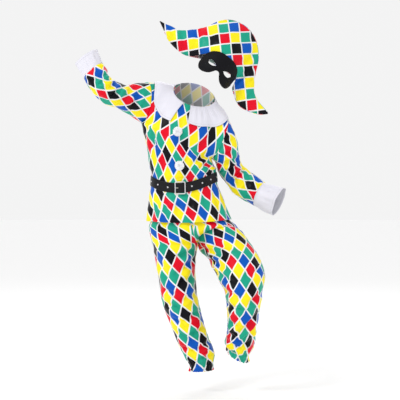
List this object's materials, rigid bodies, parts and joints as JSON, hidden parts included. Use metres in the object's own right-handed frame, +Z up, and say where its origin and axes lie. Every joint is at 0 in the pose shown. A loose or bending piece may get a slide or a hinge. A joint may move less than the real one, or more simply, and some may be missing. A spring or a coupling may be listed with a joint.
{
  "type": "harlequin costume",
  "caption": "Child's harlequin costume as worn and empty: diamond tunic with satin collar and cuffs, studded belt, gathered trousers, horned hat and eye mask.",
  "frame": {"origin": "centre of the tunic's neck opening, where the wearer's neck carries the costume", "axes": "+Z up along the standing wearer, the costume's front faces -Y, +X towards the viewer's right, which is the wearer's left"},
  "size_m": [0.7802, 0.3077, 1.3189],
  "materials": {
    "diamond_satin": "satin printed with red, yellow, blue, green and black diamonds between white lines",
    "white_satin": "plain white satin with a soft sheen",
    "black_satin": "matt black satin",
    "black_leather": "smooth black imitation leather",
    "steel": "bright silver-coloured metal",
    "white_wool": "fluffy white yarn"
  },
  "bodies": {
    "root": {"tunic_front": "diamond_satin", "tunic_back": "diamond_satin", "sleeve_right": "diamond_satin", "sleeve_left": "diamond_satin", "trouser_leg_right": "diamond_satin", "trouser_leg_left": "diamond_satin", "trouser_waistband": "diamond_satin", "hat_front": "diamond_satin", "hat_back": "diamond_satin", "collar_right": "white_satin", "collar_left": "white_satin", "cuff_right": "white_satin", "cuff_left": "white_satin", "mask": "black_satin", "mask_elastic": "black_satin", "belt_strap": "black_leather", "buckle_frame": "steel", "buckle_prong": "steel", "belt_stud_01": "steel", "belt_stud_02": "steel", "belt_stud_03": "steel", "belt_stud_04": "steel", "belt_stud_05": "steel", "belt_stud_06": "steel", "belt_stud_07": "steel", "belt_stud_08": "steel", "belt_stud_09": "steel", "belt_stud_10": "steel", "belt_stud_11": "steel", "belt_stud_12": "steel", "belt_stud_13": "steel", "belt_stud_14": "steel", "belt_stud_15": "steel", "pompom_upper": "white_wool", "pompom_lower": "white_wool"}
  },
  "joints": []
}
